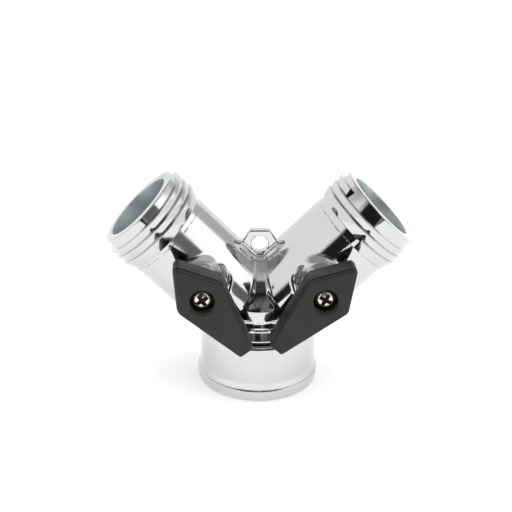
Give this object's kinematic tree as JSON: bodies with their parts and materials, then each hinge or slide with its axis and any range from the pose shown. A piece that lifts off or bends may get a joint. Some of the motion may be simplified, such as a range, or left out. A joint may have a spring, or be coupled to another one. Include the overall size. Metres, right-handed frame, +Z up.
{
  "type": "hose splitter",
  "caption": "Y-shaped garden hose splitter with a swivel threaded inlet, two threaded outlets and a pointed quarter-turn shut-off lever on each arm.",
  "frame": {"origin": "middle of the fitting's bounding box, at the bottom face of the swivel nut", "axes": "+Z up along the inlet axis, +X along the spread of the two arms, -Y towards the levers"},
  "size_m": [0.0798, 0.0398, 0.0572],
  "materials": {
    "cast_body": "bright chrome plating over a zinc casting",
    "swivel_nut": "bright chrome plating, turned",
    "retaining_ring": "plain spring steel",
    "hose_washer": "matt black rubber",
    "valve_balls": "polished chrome",
    "valve_seats": "white low-friction plastic",
    "seat_retainers": "turned brass",
    "stems": "turned brass",
    "stem_o_rings": "black rubber",
    "thrust_washers": "white low-friction plastic",
    "levers": "fine-grained black plastic",
    "lever_screws": "nickel-plated steel, slightly warm"
  },
  "bodies": {
    "splitter_body": {"body": "cast_body", "nut_retaining_ring": "retaining_ring", "left_inner_seat": "valve_seats", "left_outer_seat": "valve_seats", "left_seat_retainer": "seat_retainers", "right_inner_seat": "valve_seats", "right_outer_seat": "valve_seats", "right_seat_retainer": "seat_retainers"},
    "swivel_nut": {"inlet_nut": "swivel_nut", "inlet_washer": "hose_washer"},
    "left_lever": {"left_handle": "levers", "left_handle_screw": "lever_screws", "left_stem": "stems", "left_stem_o_ring_inner": "stem_o_rings", "left_stem_o_ring_outer": "stem_o_rings", "left_stem_thrust_washer": "thrust_washers"},
    "left_valve_ball": {"left_ball": "valve_balls"},
    "right_lever": {"right_handle": "levers", "right_handle_screw": "lever_screws", "right_stem": "stems", "right_stem_o_ring_inner": "stem_o_rings", "right_stem_o_ring_outer": "stem_o_rings", "right_stem_thrust_washer": "thrust_washers"},
    "right_valve_ball": {"right_ball": "valve_balls"}
  },
  "joints": [
    {"name": "inlet_nut_swivel", "type": "hinge", "parent": "splitter_body", "child": "swivel_nut", "pos_m": [0, 0.00365, 0.0075], "axis": [0, 0, 1], "continuous": true},
    {"name": "left_lever_turn", "type": "hinge", "parent": "splitter_body", "child": "left_lever", "pos_m": [-0.0152, -0.01655, 0.0325], "axis": [0, 1, 0], "range_deg": [0, 90]},
    {"name": "left_ball_turn", "type": "hinge", "parent": "splitter_body", "child": "left_valve_ball", "pos_m": [-0.0152, 0.00365, 0.0325], "axis": [0, 1, 0], "range_deg": [0, 90]},
    {"name": "right_lever_turn", "type": "hinge", "parent": "splitter_body", "child": "right_lever", "pos_m": [0.0152, -0.01655, 0.0325], "axis": [0, -1, 0], "range_deg": [0, 90]},
    {"name": "right_ball_turn", "type": "hinge", "parent": "splitter_body", "child": "right_valve_ball", "pos_m": [0.0152, 0.00365, 0.0325], "axis": [0, -1, 0], "range_deg": [0, 90]}
  ],
  "couplings": [
    {"joint": "left_ball_turn", "follows": "left_lever_turn", "ratio": 1},
    {"joint": "right_ball_turn", "follows": "right_lever_turn", "ratio": 1}
  ]
}
